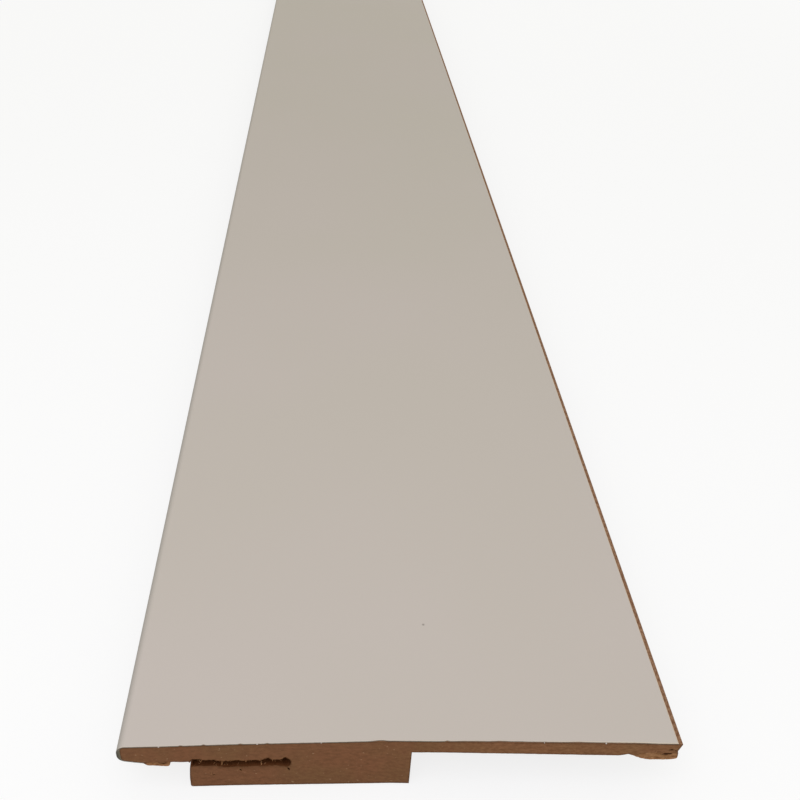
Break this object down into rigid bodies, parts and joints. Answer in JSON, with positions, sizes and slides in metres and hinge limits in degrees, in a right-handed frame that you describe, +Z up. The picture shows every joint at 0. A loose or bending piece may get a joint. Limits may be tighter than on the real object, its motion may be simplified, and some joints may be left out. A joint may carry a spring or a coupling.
{
  "type": "skirting board",
  "caption": "Long MDF skirting board with a white foil face: T-shaped section with a thick back pad, a rounded top edge, a thin apron over a recess, and a clip groove behind the lip.",
  "frame": {"origin": "middle of the length and of the width, on the plane of the back pad's underside", "axes": "+X across the board from the rounded top edge to the sawn floor edge, +Y along the length away from the end with the two saw passes, +Z up out of the white face"},
  "size_m": [0.15, 2.4, 0.018],
  "materials": {
    "mdf": "raw machined fibreboard",
    "white_foil": "smooth satin foil"
  },
  "bodies": {
    "root": {"mdf_board": "mdf", "face_foil": "white_foil"}
  },
  "joints": []
}
